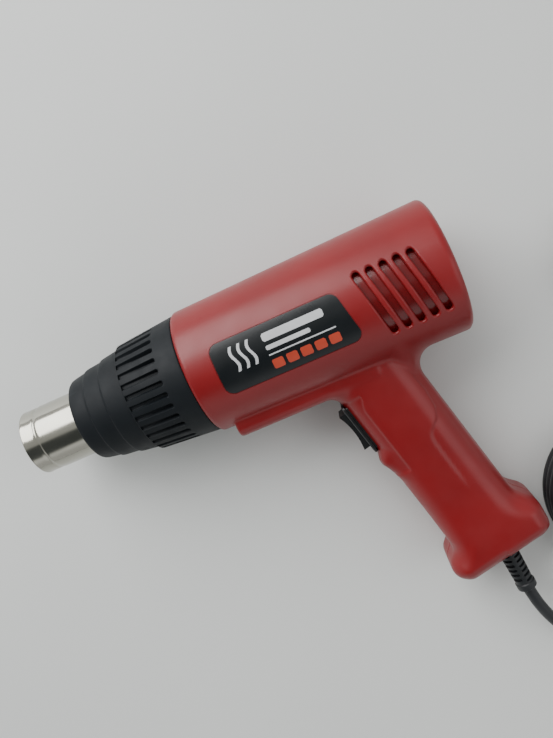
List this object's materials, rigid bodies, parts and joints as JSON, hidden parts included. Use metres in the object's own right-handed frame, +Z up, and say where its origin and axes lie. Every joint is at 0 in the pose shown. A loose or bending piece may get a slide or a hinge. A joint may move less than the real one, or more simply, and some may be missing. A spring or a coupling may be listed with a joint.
{
  "type": "heat gun",
  "caption": "Pistol-shaped hot-air gun lying on its side: steel nozzle, fluted dark collar, red clamshell housing with a label and intake slots, rocker switch in the grip, coiled mains cord.",
  "frame": {"origin": "centre of the footprint of the tool (without its free cord) on the surface it lies on, with the tool lying on its right side", "axes": "+X along the barrel from nozzle to rear, +Y from the grip towards the top of the barrel, +Z up, out of the left side of the tool, which is rolled 5 degrees about X so that barrel and butt both touch the surface"},
  "size_m": [0.3305, 0.2729, 0.0696],
  "materials": {
    "red_plastic": "satin moulded",
    "red_screen": "satin moulded",
    "collar_plastic": "fine matte texture",
    "nozzle_steel": "satin, warm grey",
    "mica": "layered mica",
    "heating_alloy": "oxidised wire",
    "cut_out_metal": "satin",
    "black_plastic": "matte",
    "switch_black": "satin",
    "grey_nylon": "matte",
    "zinc_steel": "zinc plated",
    "ferrite": "matte",
    "bronze": "sintered",
    "carbon": "matte",
    "lamination": "stacked sheet",
    "copper": "turned copper",
    "board": "phenolic board",
    "diode_black": "moulded",
    "capacitor_yellow": "moulded case",
    "tinned_brass": "tinned",
    "wire_brown": "PVC sleeve",
    "wire_blue": "PVC sleeve",
    "wire_red": "PVC sleeve",
    "wire_white": "glass-fibre sleeve",
    "label_film": "printed film",
    "cord_rubber": "matte rubber",
    "tie_fabric": "hook-and-loop strap",
    "plug_brass": "nickel plated"
  },
  "bodies": {
    "housing": {"housing_left": "red_plastic", "housing_right": "red_plastic", "baffle_left": "red_screen", "baffle_right": "red_screen", "front_collar": "collar_plastic", "nozzle_tube": "nozzle_steel", "mica_sleeve": "mica", "heater_core": "mica", "heater_front_disc": "mica", "heater_rear_disc": "mica", "heating_wire": "heating_alloy", "thermal_cutout": "cut_out_metal", "fan_duct": "black_plastic", "motor_carrier": "black_plastic", "motor_end_cap": "black_plastic", "switch_body": "black_plastic", "cable_clamp": "black_plastic", "switch_bezel": "switch_black", "housing_screws": "zinc_steel", "motor_screws": "zinc_steel", "clamp_screws": "zinc_steel", "rocker_pin": "zinc_steel", "motor_can": "zinc_steel", "motor_magnets": "ferrite", "bush_front": "bronze", "bush_rear": "bronze", "carbon_brushes": "carbon", "rectifier_board": "board", "board_diodes": "diode_black", "noise_capacitor": "capacitor_yellow", "switch_terminals": "tinned_brass", "wire_live": "wire_brown", "wire_neutral": "wire_blue", "motor_lead": "wire_red", "heater_lead_1": "wire_white", "heater_lead_2": "wire_white", "label_left": "label_film", "label_right": "label_film", "cord_boot": "cord_rubber", "power_cord": "cord_rubber", "plug_cord": "cord_rubber", "cord_coil": "cord_rubber", "plug_sleeve": "cord_rubber", "plug_body": "cord_rubber", "cord_tie": "tie_fabric", "plug_pins": "plug_brass"},
    "rotor": {"motor_shaft": "zinc_steel", "armature": "lamination", "commutator": "copper", "fan_impeller": "grey_nylon"},
    "rocker": {"switch_rocker": "switch_black"}
  },
  "joints": [
    {"name": "rotor_spin", "type": "hinge", "parent": "housing", "child": "rotor", "pos_m": [0.0435, 0.0727, 0.0348], "axis": [1, 0, 0], "continuous": true},
    {"name": "rocker_tilt", "type": "hinge", "parent": "housing", "child": "rocker", "pos_m": [0.04763, 0.01398, 0.02966], "axis": [0, -0.0872, 0.9962], "range_deg": [-10, 10]}
  ]
}
